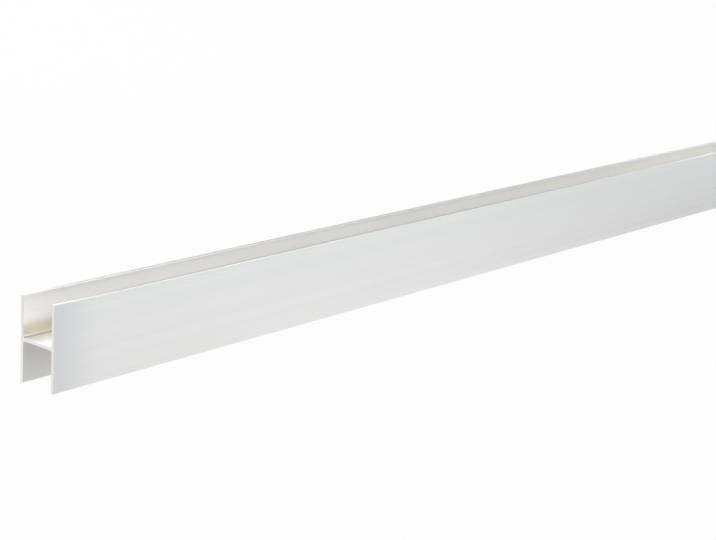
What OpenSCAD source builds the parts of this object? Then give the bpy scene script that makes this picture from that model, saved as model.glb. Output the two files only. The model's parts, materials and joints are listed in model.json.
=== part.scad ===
// Aluminium H-section: an extruded panel joiner with two back-to-back channels,
// standing on the edges of its flanges with its web level.
// X runs along the stock, Z is up, and the origin is the middle of the base.

/* [Panel channels] */
// Thickness of the panel that each channel holds
panel_thickness = 16; // [4:0.5:40]
// Play between a panel and the channel walls, both sides together
panel_play = 0.5; // [0:0.1:2]
// Depth of each channel, from the web to the edge of the flanges
channel_depth = 17; // [6:0.5:40]

/* [Walls] */
// Thickness of the two flanges
flange_wall = 1.5; // [1:0.1:3]
// Thickness of the web between the flanges
web_wall = 1.5; // [1:0.1:3]

/* [Corners] */
// Radius of the inside corners where the web meets the flanges
root_radius = 1; // [0.2:0.1:1.5]
// Radius of the long edges of the flanges
edge_radius = 0.3; // [0.1:0.05:0.45]

/* [Stock] */
// Length that the stock is sold in
stock_length = 1000; // [250:50:6000]

/* [Hidden] */
$fn = 48;

channel_width = panel_thickness + panel_play;
flange_height = 2 * channel_depth + web_wall;
web_level = flange_height / 2;

// Upright bar with its four corners rounded, standing on the X axis about Y.
module rounded_bar(width, height, radius) {
    translate([-width / 2, radius])
        square([width, height - 2 * radius]);
    translate([-width / 2 + radius, 0])
        square([width - 2 * radius, height]);
    for (x = [-1, 1] * (width / 2 - radius), y = [radius, height - radius])
        translate([x, y])
            circle(radius);
}

// The metal left in one inside corner by a fillet, in the quarter where X and Y are positive.
module root_fillet(radius) {
    difference() {
        square(radius);
        translate([radius, radius])
            circle(radius);
    }
}

// The whole H, drawn with the web across X and the flanges along Y.
module h_section() {
    for (side = [-1, 1])
        translate([side * (channel_width + flange_wall) / 2, 0])
            rounded_bar(flange_wall, flange_height, edge_radius);
    translate([-channel_width / 2, web_level - web_wall / 2])
        square([channel_width, web_wall]);
    for (side = [0, 1], face = [0, 1])
        translate([0, web_level])
            mirror([side, 0])
                mirror([0, face])
                    translate([-channel_width / 2, web_wall / 2])
                        root_fillet(root_radius);
}

module h_profile() {
    color("#D9DADB")
        rotate([90, 0, 90])
            linear_extrude(height = stock_length, center = true)
                h_section();
}

h_profile();
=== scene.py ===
"""Looks of a mill-finish aluminium H-section: its extruded skin, sawn ends, floor, light and camera.

Lengths are in metres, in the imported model's frame: X runs along the stock, Y across it and Z up.
"""

import json
import math
from collections import namedtuple

import bpy
import numpy as np
from mathutils import Matrix, Vector
from mathutils.geometry import delaunay_2d_cdt


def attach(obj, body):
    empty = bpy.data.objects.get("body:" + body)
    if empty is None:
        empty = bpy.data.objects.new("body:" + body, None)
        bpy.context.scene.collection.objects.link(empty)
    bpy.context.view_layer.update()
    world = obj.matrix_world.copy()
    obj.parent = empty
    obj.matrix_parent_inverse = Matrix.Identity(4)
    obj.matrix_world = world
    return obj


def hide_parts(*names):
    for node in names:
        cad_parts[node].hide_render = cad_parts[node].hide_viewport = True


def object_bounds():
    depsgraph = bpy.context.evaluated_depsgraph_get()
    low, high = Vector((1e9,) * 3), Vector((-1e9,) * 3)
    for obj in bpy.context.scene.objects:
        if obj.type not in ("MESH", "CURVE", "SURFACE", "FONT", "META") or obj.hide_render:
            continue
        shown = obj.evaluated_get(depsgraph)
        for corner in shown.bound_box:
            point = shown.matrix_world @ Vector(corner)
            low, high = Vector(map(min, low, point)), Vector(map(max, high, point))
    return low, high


MM = 0.001

# Section: the solid's box, half the gap between the flanges, and the levels of the web's faces
Section = namedtuple("Section", "low high inner web_low web_high")

# Radii of the section, as the solid has them
EDGE_RADIUS = 0.3 * MM
ROOT_RADIUS = 1.0 * MM
ARC_STEPS = 6

# Skin: spacing round the section and along the stock, the angle of a sharp edge, order of materials
OUTLINE_STEP = 0.22 * MM
RING_STEP = 25 * MM
SHARP_ANGLE = math.radians(40)
MILL_INDEX, SAWN_INDEX = 0, 1

# Die lines: shallow grooves drawn along the stock, which fade and return over a long wave
DIE_SEED = 11
DIE_LINES = 240
DIE_WIDTH = (0.15 * MM, 0.7 * MM)
DIE_DEPTH = (0.002 * MM, 0.009 * MM)
DIE_WAVE = (0.18, 0.7)
DIE_FADE = 0.4

# Sawn ends: a deburred edge, and the coarse and fine arcs that the saw blade leaves
END_BREAK = 0.12 * MM
END_BREAK_STEPS = 3
SAW_CENTRE = (-0.06, 0.15)
SAW_STEP = 0.25 * MM
SAW_PITCH = 0.9 * MM
SAW_DEPTH = 0.008 * MM
FINE_SAW_PITCH = 0.3 * MM

# Filling of a sawn end: only inside the outline, with points closer than this many mm made one
FILL_INSIDE = 1
FILL_MERGE = 1e-6

# UV layout: the sides unrolled with U along the stock, and both ends above them
SIDE_U = (0.01, 0.99)
SIDE_V = (0.01, 0.88)
END_U = (0.01, 0.21)
END_V = (0.90, 0.99)
BAKE_MAP = "OFBake"
GRAIN_MAP = "along_stock"

# Camera, from the near end's foot, midway between the flanges
CAMERA_OFFSET = Vector((-0.40824, -0.48477, 0.22203))
CAMERA_YAW = math.radians(51.087)
CAMERA_PITCH = math.radians(15.032)
CAMERA_ROLL = math.radians(3.529)
CAMERA_CLIP = 0.01
LENS_MM = 85.91
SENSOR_MM = 36.0

# Stage: a matt floor, nearly all of which the camera sees as white, and dim light from all round
FLOOR_SIZE = 40.0
FLOOR_DROP = 0.02 * MM
FLOOR_COLOUR = (0.55, 0.55, 0.55, 1)
FLOOR_WHITE_SEEN = 0.97
WORLD_LIGHT = (0.15, 0.15, 0.15, 1)

# Painted pool of light on the floor, which the metal mirrors: share inside and outside, place, narrowing,
# reach
PAINTED_POOL_WHITE = (0.7, 0.2)
POOL_START = 0.15
POOL_SHAPE = (1, 4, 1)
POOL_REACH = 0.6

# Softboxes: degrees round from -Y towards +X, degrees up, distance, width, height, radiance, colour
SOFTBOX_AIM = Vector((0.2, 0, 0.02))
PALE = (0.97, 0.98, 1.0)
COOL = (0.91, 0.945, 1.0)
SOFTBOXES = {
    "front_key": (45, 26, 2.0, 1.0, 0.7, 4.1, COOL),
    "front_fill": (15, 45, 2.0, 1.6, 1.2, 1.5, COOL),
    "front_left": (330, 40, 0.7, 0.4, 0.4, 1.0, PALE),
    "rear_top": (180, 60, 2.0, 1.4, 0.8, 5.2, PALE),
    "rear_middle": (180, 36, 2.0, 1.8, 0.8, 6.8, COOL),
    "rear_side": (125, 50, 2.0, 1.2, 0.8, 0.7, PALE),
    "right_low": (92, 12, 2.0, 1.2, 0.8, 3.0, COOL),
    "left_low": (235, 12, 2.0, 1.4, 1.0, 1.3, PALE),
}

# Tones of the streaks, of the metal by a cut, of the painted shade at the foot of the upper channel's
# walls and of the sawn ends
BRIGHT_TONE = (0.972, 0.962, 0.941, 1)
DULL_TONE = (0.932, 0.922, 0.901, 1)
CUT_TONE = (0.88, 0.88, 0.88, 1)
CUT_REACH = 22 * MM
# Painted shade: a darker, warmer tone at the foot of the upper channel's walls, fading out between two
# heights above the web
CHANNEL_SHADE_TONE = (0.725, 0.68, 0.565, 1)
CHANNEL_SHADE_HEIGHT = (3 * MM, 7.5 * MM)
CHANNEL_SHADE_SLACK = 4 * DIE_DEPTH[1]
SAWN_TONE = (0.96, 0.955, 0.94, 1)

# Streaks and clouds: cycles per metre along the stock and across it, and levels of detail
BROAD_STREAKS = (1.5, 700, 3)
FINE_STREAKS = (5, 4500, 2)
CLOUDS = (18, 70, 3)
NOISE_ROUGHNESS = 0.6
NOISE_SPAN = (0.3, 0.7)

# Sheen: roughness, the finest relief, and the blur that the die lines stretch across the stock
CLOUD_ROUGHNESS = (0.43, 0.47)
STREAK_ROUGHNESS = (-0.02, 0.02)
SAWN_ROUGHNESS = (0.45, 0.55)
STREAK_BUMP = 0.25
SAWN_BUMP = 0.3
BUMP_HEIGHT = 0.004 * MM
GRAIN_STRETCH = 0.6
QUARTER_TURN = 0.25


def unit(vector):
    """The vector at length 1."""
    return vector / np.linalg.norm(vector)


def find_section(frame, low, high):
    """The section's sizes, from the solid's box and the record's mounts."""
    place = {mount["name"]: mount["pos_m"] for mount in frame["record"]["mounts"]}
    inner = high.y - 2 * (high.y - place["base_rear_edge"][1])
    return Section(low, high, inner, place["lower_web_face"][2], place["upper_web_face"][2])


def section_corners(section):
    """Corners of the H-section as (y, z, radius), anticlockwise seen from +X."""
    low, high, inner, web_low, web_high = section
    outer = high.y
    return [
        (inner, low.z, EDGE_RADIUS),
        (outer, low.z, EDGE_RADIUS),
        (outer, high.z, EDGE_RADIUS),
        (inner, high.z, EDGE_RADIUS),
        (inner, web_high, ROOT_RADIUS),
        (-inner, web_high, ROOT_RADIUS),
        (-inner, high.z, EDGE_RADIUS),
        (-outer, high.z, EDGE_RADIUS),
        (-outer, low.z, EDGE_RADIUS),
        (-inner, low.z, EDGE_RADIUS),
        (-inner, web_low, ROOT_RADIUS),
        (inner, web_low, ROOT_RADIUS),
    ]


def rounded_outline(corners):
    """Points round a closed outline of square corners, each rounded to its radius."""
    points = []
    for i, (y, z, radius) in enumerate(corners):
        corner = np.array((y, z))
        last = np.array(corners[i - 1][:2])
        following = corners[(i + 1) % len(corners)]
        before = unit(corner - last)
        after = unit(np.array(following[:2]) - corner)
        centre = corner + radius * (after - before)
        for turn in np.linspace(0, math.pi / 2, ARC_STEPS + 1):
            points.append(centre + radius * (before * math.sin(turn) - after * math.cos(turn)))
        start = points[-1]
        end = np.array(following[:2]) - after * following[2]
        steps = max(1, round(np.linalg.norm(end - start) / OUTLINE_STEP))
        points += [start + (end - start) * k / steps for k in range(1, steps)]
    return np.array(points)


def outward(points):
    """Unit normals of a closed anticlockwise outline, in its plane."""
    along = np.roll(points, -1, axis=0) - np.roll(points, 1, axis=0)
    normals = np.stack([along[:, 1], -along[:, 0]], axis=1)
    return normals / np.linalg.norm(normals, axis=1)[:, None]


def distances_round(points):
    """Distance of each outline point from the first, and the whole way round."""
    steps = np.linalg.norm(np.roll(points, -1, axis=0) - points, axis=1)
    return np.concatenate([[0], np.cumsum(steps)[:-1]]), steps.sum()


def die_relief(distance, perimeter, stations):
    """Depth of the die lines at each station along the stock and each outline point."""
    rng = np.random.default_rng(DIE_SEED)
    middle = rng.uniform(0, perimeter, DIE_LINES)
    width = rng.uniform(*DIE_WIDTH, DIE_LINES)
    depth = rng.uniform(*DIE_DEPTH, DIE_LINES)
    wave = rng.uniform(*DIE_WAVE, DIE_LINES)
    phase = rng.uniform(0, 2 * math.pi, DIE_LINES)
    gap = (distance[None, :] - middle[:, None] + perimeter / 2) % perimeter - perimeter / 2
    groove = np.exp(-((gap / width[:, None]) ** 2))
    swell = np.sin(2 * math.pi * stations[:, None] / wave + phase)
    return (depth * (1 - DIE_FADE + DIE_FADE * swell)) @ groove


def ring_stations(low, high):
    """(x, inset) of each ring along the stock, with a rounded break at both ends."""
    turns = [math.pi / 2 * k / END_BREAK_STEPS for k in range(END_BREAK_STEPS, 0, -1)]
    ends = [(END_BREAK * (1 - math.sin(t)), END_BREAK * (1 - math.cos(t))) for t in turns]
    start, end = low.x + END_BREAK, high.x - END_BREAK
    count = round((end - start) / RING_STEP)
    middle = [(start + (end - start) * k / count, 0) for k in range(count + 1)]
    near = [(low.x + x, inset) for x, inset in ends]
    far = [(high.x - x, inset) for x, inset in reversed(ends)]
    return np.array(near + middle + far)


def saw_relief(y, z):
    """Depth of the blade's coarse arcs on a sawn end."""
    reach = np.hypot(y - SAW_CENTRE[0], z - SAW_CENTRE[1])
    return SAW_DEPTH * (0.5 + 0.5 * np.sin(2 * math.pi * reach / SAW_PITCH))


def grid_inside(section):
    """Points of a regular grid that lie well inside the section's three walls."""
    low, high, inner, web_low, web_high = section
    outer = high.y
    walls = [
        (inner, outer, low.z, high.z),
        (-outer, -inner, low.z, high.z),
        (-outer, outer, web_low, web_high),
    ]
    margin = END_BREAK + SAW_STEP / 2
    y, z = np.meshgrid(np.arange(-outer, outer, SAW_STEP), np.arange(low.z, high.z, SAW_STEP))
    inside = np.zeros(y.shape, bool)
    for y_low, y_high, z_low, z_high in walls:
        across = (y > y_low + margin) & (y < y_high - margin)
        inside |= across & (z > z_low + margin) & (z < z_high - margin)
    return np.stack([y[inside], z[inside]], axis=1)


def cap_triangles(rim, extra):
    """Triangles that fill a closed outline and use the extra points in it, which count on from its own."""
    count = len(rim)
    rim_edges = [(i, (i + 1) % count) for i in range(count)]
    places = [Vector(p / MM) for p in np.concatenate([rim, extra])]
    _, _, faces, sources, _, _ = delaunay_2d_cdt(places, rim_edges, [], FILL_INSIDE, FILL_MERGE)
    return [tuple(sources[i][0] for i in face) for face in faces]


def side_layout(x, distance, perimeter):
    """UV of each corner of the side quads, ring by ring and round the outline."""
    u = np.interp(x, (x[0], x[-1]), SIDE_U)
    v = np.interp(np.append(distance, perimeter), (0, perimeter), SIDE_V)
    ring, i = np.meshgrid(np.arange(len(x) - 1), np.arange(len(distance)), indexing="ij")
    corners = [(u[ring], v[i]), (u[ring + 1], v[i]), (u[ring + 1], v[i + 1]), (u[ring], v[i + 1])]
    return np.stack([np.stack(corner, axis=-1) for corner in corners], axis=2).reshape(-1, 2)


def end_layout(places, faces, start, low, high):
    """UV of each corner of one sawn end's faces, laid on their side from the U given."""
    y, z = places[[i for face in faces for i in face], 1:].T
    scale = (END_V[1] - END_V[0]) / (high.y - low.y)
    return np.stack([start + (z - low.z) * scale, END_V[0] + (y - low.y) * scale], axis=1)


def skin_mesh(section):
    """The extruded skin with its die lines, and both sawn ends, as one closed mesh."""
    low, high = section.low, section.high
    outline = rounded_outline(section_corners(section))
    normals = outward(outline)
    distance, perimeter = distances_round(outline)
    stations = ring_stations(low, high)
    relief = die_relief(distance, perimeter, stations[:, 0]) + stations[:, 1][:, None]
    around = outline[None] - relief[:, :, None] * normals[None]
    x = np.broadcast_to(stations[:, 0][:, None, None], (*relief.shape, 1))
    rings = np.concatenate([x, around], axis=2)

    count, points = relief.shape
    quads = []
    for ring in range(count - 1):
        first = ring * points
        for i in range(points):
            j = (i + 1) % points
            quads.append((first + i, first + points + i, first + points + j, first + j))

    extra = grid_inside(section)
    places = rings.reshape(-1, 3)
    layout = [side_layout(stations[:, 0], distance, perimeter)]
    caps = []
    for ring, side, end_x, start_u in ((0, -1, low.x, END_U[0]), (count - 1, 1, high.x, END_U[1])):
        first = len(places)
        places = np.vstack([places, np.column_stack([end_x - side * saw_relief(*extra.T), extra])])
        faces = []
        for face in cap_triangles(around[ring], extra):
            named = [ring * points + i if i < points else first + i - points for i in face]
            faces.append(tuple(named if side > 0 else named[::-1]))
        layout.append(end_layout(places, faces, start_u, low, high))
        caps += faces

    mesh = bpy.data.meshes.new("mill_extrusion")
    mesh.from_pydata(places.tolist(), [], quads + caps)
    for name in (BAKE_MAP, GRAIN_MAP):
        mesh.uv_layers.new(name=name).uv.foreach_set("vector", np.concatenate(layout).ravel())
    mesh.polygons.foreach_set("material_index", [MILL_INDEX] * len(quads) + [SAWN_INDEX] * len(caps))
    mesh.polygons.foreach_set("use_smooth", [True] * (len(quads) + len(caps)))
    mesh.set_sharp_from_angle(angle=SHARP_ANGLE)
    mesh.update()
    return mesh


def feed(tree, socket, value):
    """Links a node's output to the socket, or sets the socket to a plain value."""
    if isinstance(value, bpy.types.NodeSocket):
        tree.links.new(value, socket)
    else:
        socket.default_value = value


def feed_node(tree, node, **inputs):
    """Feeds inputs by name, where _ stands for a space, or by number as i0, i1 and so on."""
    for name, value in inputs.items():
        number = name[1:]
        key = int(number) if number.isdigit() else name.replace("_", " ")
        feed(tree, node.inputs[key], value)


def add_node(tree, kind, settings=None, **inputs):
    """A new node with its settings made and its inputs fed."""
    node = tree.nodes.new(kind)
    for name, value in (settings or {}).items():
        setattr(node, name, value)
    feed_node(tree, node, **inputs)
    return node


def add_math(tree, operation, *values):
    """The result of a Math node on the values, each a number or a link."""
    inputs = {f"i{k}": value for k, value in enumerate(values)}
    return add_node(tree, "ShaderNodeMath", {"operation": operation}, **inputs).outputs[0]


def object_place(tree):
    """The place of the shaded point in its object."""
    return add_node(tree, "ShaderNodeTexCoord").outputs["Object"]


def stretched(tree, place, factors):
    """The place with each axis multiplied by its factor."""
    node = add_node(tree, "ShaderNodeVectorMath", {"operation": "MULTIPLY"}, i0=place, i1=factors)
    return node.outputs[0]


def distance_from(tree, place, centre):
    """Distance of the place from a fixed point."""
    node = add_node(tree, "ShaderNodeVectorMath", {"operation": "DISTANCE"}, i0=place, i1=centre)
    return node.outputs["Value"]


def streaks(tree, place, along, across, detail):
    """Noise drawn out along the stock: cycles per metre along it and across it."""
    noise = add_node(
        tree,
        "ShaderNodeTexNoise",
        Vector=stretched(tree, place, (along, across, across)),
        Scale=1.0,
        Detail=detail,
        Roughness=NOISE_ROUGHNESS,
    )
    return noise.outputs["Fac"]


def ranged(tree, value, low, high, span=NOISE_SPAN, interpolation="LINEAR"):
    """The value's span mapped to the range from low to high, and held at its ends beyond it."""
    node = add_node(
        tree,
        "ShaderNodeMapRange",
        {"interpolation_type": interpolation},
        Value=value,
        From_Min=span[0],
        From_Max=span[1],
        To_Min=low,
        To_Max=high,
    )
    return node.outputs["Result"]


def blended(tree, factor, low, high):
    """The colour between two others, each a colour or a link, at the factor."""
    node = add_node(tree, "ShaderNodeMix", {"data_type": "RGBA"}, Factor=factor)
    for name, colour in (("A", low), ("B", high)):
        feed(tree, next(s for s in node.inputs if s.name == name and s.type == "RGBA"), colour)
    return next(s for s in node.outputs if s.type == "RGBA")


def new_material(name):
    """A new node material, its tree and its Principled shader."""
    material = bpy.data.materials.new(name)
    material.use_nodes = True
    tree = material.node_tree
    return material, tree, tree.nodes["Principled BSDF"]


def near_cut(tree, place, section):
    """1 at the sawn ends of the outer faces, falling to 0 a short way along the stock."""
    axes = add_node(tree, "ShaderNodeSeparateXYZ", Vector=place).outputs
    along = add_math(tree, "ABSOLUTE", axes["X"])
    across = add_math(tree, "ABSOLUTE", axes["Y"])
    end = section.high.x
    by_end = ranged(tree, along, 0, 1, (end - CUT_REACH, end), "SMOOTHSTEP")
    outside = add_math(tree, "GREATER_THAN", across, section.high.y - EDGE_RADIUS)
    return add_math(tree, "MULTIPLY", by_end, outside)


def painted_channel_shade(tree, place, section):
    """1 at the foot of the upper channel's walls, where shade is painted, falling to 0 up them."""
    axes = add_node(tree, "ShaderNodeSeparateXYZ", Vector=place).outputs
    across = add_math(tree, "ABSOLUTE", axes["Y"])
    foot = section.web_high
    heights = (foot + CHANNEL_SHADE_HEIGHT[0], foot + CHANNEL_SHADE_HEIGHT[1])
    deep = ranged(tree, axes["Z"], 1, 0, heights, "SMOOTHSTEP")
    half = ROOT_RADIUS / 2
    by_wall = add_math(tree, "COMPARE", across, section.inner - half, half + CHANNEL_SHADE_SLACK)
    above = add_math(tree, "GREATER_THAN", axes["Z"], foot - CHANNEL_SHADE_SLACK)
    return add_math(tree, "MULTIPLY", deep, add_math(tree, "MULTIPLY", by_wall, above))


def mill_aluminium(section):
    """Extruded faces: streaked, faintly clouded satin metal, darker by a cut, and with painted shade,
    darker and warmer, at the foot of the upper channel's walls.
    """
    material, tree, shader = new_material("mill_aluminium")
    place = object_place(tree)
    broad = streaks(tree, place, *BROAD_STREAKS)
    fine = streaks(tree, place, *FINE_STREAKS)
    cloud = streaks(tree, place, *CLOUDS)
    tone = blended(tree, ranged(tree, broad, 0, 1), DULL_TONE, BRIGHT_TONE)
    tone = blended(tree, near_cut(tree, place, section), tone, CUT_TONE)
    # Painted shade at the foot of the upper channel's walls
    tone = blended(tree, painted_channel_shade(tree, place, section), tone, CHANNEL_SHADE_TONE)
    clouded = ranged(tree, cloud, *CLOUD_ROUGHNESS)
    streaked = ranged(tree, broad, *STREAK_ROUGHNESS)
    bump = add_node(tree, "ShaderNodeBump", Strength=STREAK_BUMP, Distance=BUMP_HEIGHT, Height=fine)
    grain = add_node(tree, "ShaderNodeTangent", {"direction_type": "UV_MAP", "uv_map": GRAIN_MAP})
    feed_node(
        tree,
        shader,
        Base_Color=tone,
        Metallic=1.0,
        Roughness=add_math(tree, "ADD", clouded, streaked),
        Anisotropic=GRAIN_STRETCH,
        Anisotropic_Rotation=QUARTER_TURN,
        Normal=bump.outputs[0],
        Tangent=grain.outputs[0],
    )
    return material


def sawn_aluminium():
    """Sawn ends: rougher metal with the blade's fine arcs."""
    material, tree, shader = new_material("sawn_aluminium")
    flat = stretched(tree, object_place(tree), (0, 1, 1))
    reach = distance_from(tree, flat, (0, *SAW_CENTRE))
    arcs = add_math(tree, "SINE", add_math(tree, "MULTIPLY", reach, 2 * math.pi / FINE_SAW_PITCH))
    bump = add_node(tree, "ShaderNodeBump", Strength=SAWN_BUMP, Distance=BUMP_HEIGHT, Height=arcs)
    feed_node(
        tree,
        shader,
        Base_Color=SAWN_TONE,
        Metallic=1.0,
        Roughness=ranged(tree, arcs, *SAWN_ROUGHNESS, (-1, 1)),
        Normal=bump.outputs[0],
    )
    return material


def make_profile(section):
    """The finished stock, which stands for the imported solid."""
    profile = bpy.data.objects.new("mill_extrusion", skin_mesh(section))
    bpy.context.scene.collection.objects.link(profile)
    profile.data.materials.append(mill_aluminium(section))
    profile.data.materials.append(sawn_aluminium())
    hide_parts("h_profile")
    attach(profile, "root")


def pale_floor(low):
    """Matt floor mixed with plain white: evenly to the camera, and to the metal as a painted pool of
    light.
    """
    material, tree, shader = new_material("pale_floor")
    tree.nodes.remove(shader)
    ray = add_node(tree, "ShaderNodeLightPath").outputs
    seen = add_math(tree, "MULTIPLY", ray["Is Camera Ray"], FLOOR_WHITE_SEEN)
    mirrored = add_math(tree, "MAXIMUM", ray["Is Glossy Ray"], ray["Is Transmission Ray"])
    drawn_in = stretched(tree, object_place(tree), POOL_SHAPE)
    away = distance_from(tree, drawn_in, (low.x + POOL_START, 0, low.z))
    # Painted pool of light: the white share that the metal mirrors, high at the pool's middle and low away
    # from it
    pool = ranged(tree, away, *PAINTED_POOL_WHITE, (0, POOL_REACH), "SMOOTHSTEP")
    share = add_math(tree, "MULTIPLY_ADD", mirrored, pool, seen)
    matt = add_node(tree, "ShaderNodeBsdfDiffuse", Color=FLOOR_COLOUR).outputs[0]
    white = add_node(tree, "ShaderNodeEmission", Strength=1.0).outputs[0]
    mixed = add_node(tree, "ShaderNodeMixShader", i0=share, i1=matt, i2=white).outputs[0]
    feed(tree, tree.nodes["Material Output"].inputs["Surface"], mixed)
    material.cycles.emission_sampling = "NONE"
    return material


def make_floor(low):
    """A plain floor just under the stock."""
    half = FLOOR_SIZE / 2
    level = low.z - FLOOR_DROP
    corners = [(x * half, y * half, level) for x, y in ((-1, -1), (1, -1), (1, 1), (-1, 1))]
    mesh = bpy.data.meshes.new("floor")
    mesh.from_pydata(corners, [], [(0, 1, 2, 3)])
    mesh.materials.append(pale_floor(low))
    floor = bpy.data.objects.new("floor", mesh)
    bpy.context.scene.collection.objects.link(floor)


def make_world():
    """Dim even light from all round."""
    world = bpy.data.worlds.new("studio")
    world.use_nodes = True
    world.node_tree.nodes["Background"].inputs["Color"].default_value = WORLD_LIGHT
    bpy.context.scene.world = world


def make_softboxes(low):
    """Softboxes that stand round the near end and face it."""
    aim = Vector((low.x, 0, low.z)) + SOFTBOX_AIM
    for name, (azimuth, elevation, distance, width, height, radiance, colour) in SOFTBOXES.items():
        turn, rise = math.radians(azimuth), math.radians(elevation)
        way = Vector((math.sin(turn) * math.cos(rise), -math.cos(turn) * math.cos(rise), math.sin(rise)))
        data = bpy.data.lights.new(name, "AREA")
        data.shape = "RECTANGLE"
        data.size = width
        data.size_y = height
        data.energy = radiance * math.pi * width * height
        data.color = colour
        lamp = bpy.data.objects.new(name, data)
        lamp.location = aim + way * distance
        lamp.rotation_euler = way.to_track_quat("Z", "Y").to_euler()
        lamp.visible_camera = False
        bpy.context.scene.collection.objects.link(lamp)


def make_camera(low):
    """The photograph's viewpoint, placed from the near end's foot."""
    level = Vector((math.cos(CAMERA_YAW), -math.sin(CAMERA_YAW), 0))
    forward = Vector((
        math.sin(CAMERA_YAW) * math.cos(CAMERA_PITCH),
        math.cos(CAMERA_YAW) * math.cos(CAMERA_PITCH),
        -math.sin(CAMERA_PITCH),
    ))
    up = level.cross(forward)
    right = level * math.cos(CAMERA_ROLL) + up * math.sin(CAMERA_ROLL)
    top = up * math.cos(CAMERA_ROLL) - level * math.sin(CAMERA_ROLL)
    data = bpy.data.cameras.new("camera")
    data.lens = LENS_MM
    data.sensor_width = SENSOR_MM
    data.clip_start = CAMERA_CLIP
    camera = bpy.data.objects.new("camera", data)
    turned = Matrix((right, top, -forward)).transposed().to_4x4()
    camera.matrix_world = Matrix.Translation(Vector((low.x, 0, low.z)) + CAMERA_OFFSET) @ turned
    bpy.context.scene.collection.objects.link(camera)
    bpy.context.scene.camera = camera


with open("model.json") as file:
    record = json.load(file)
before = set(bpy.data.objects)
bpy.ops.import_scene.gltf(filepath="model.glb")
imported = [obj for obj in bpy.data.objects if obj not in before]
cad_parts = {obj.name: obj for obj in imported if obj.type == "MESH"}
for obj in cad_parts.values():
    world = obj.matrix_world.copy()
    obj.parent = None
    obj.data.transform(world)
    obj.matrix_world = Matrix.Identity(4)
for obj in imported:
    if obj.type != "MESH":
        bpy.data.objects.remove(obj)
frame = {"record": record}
cad_low, cad_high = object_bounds()
make_camera(cad_low)
make_world()
make_softboxes(cad_low)
make_floor(cad_low)
make_profile(find_section(frame, cad_low, cad_high))
bpy.context.scene.view_settings.view_transform = "Standard"
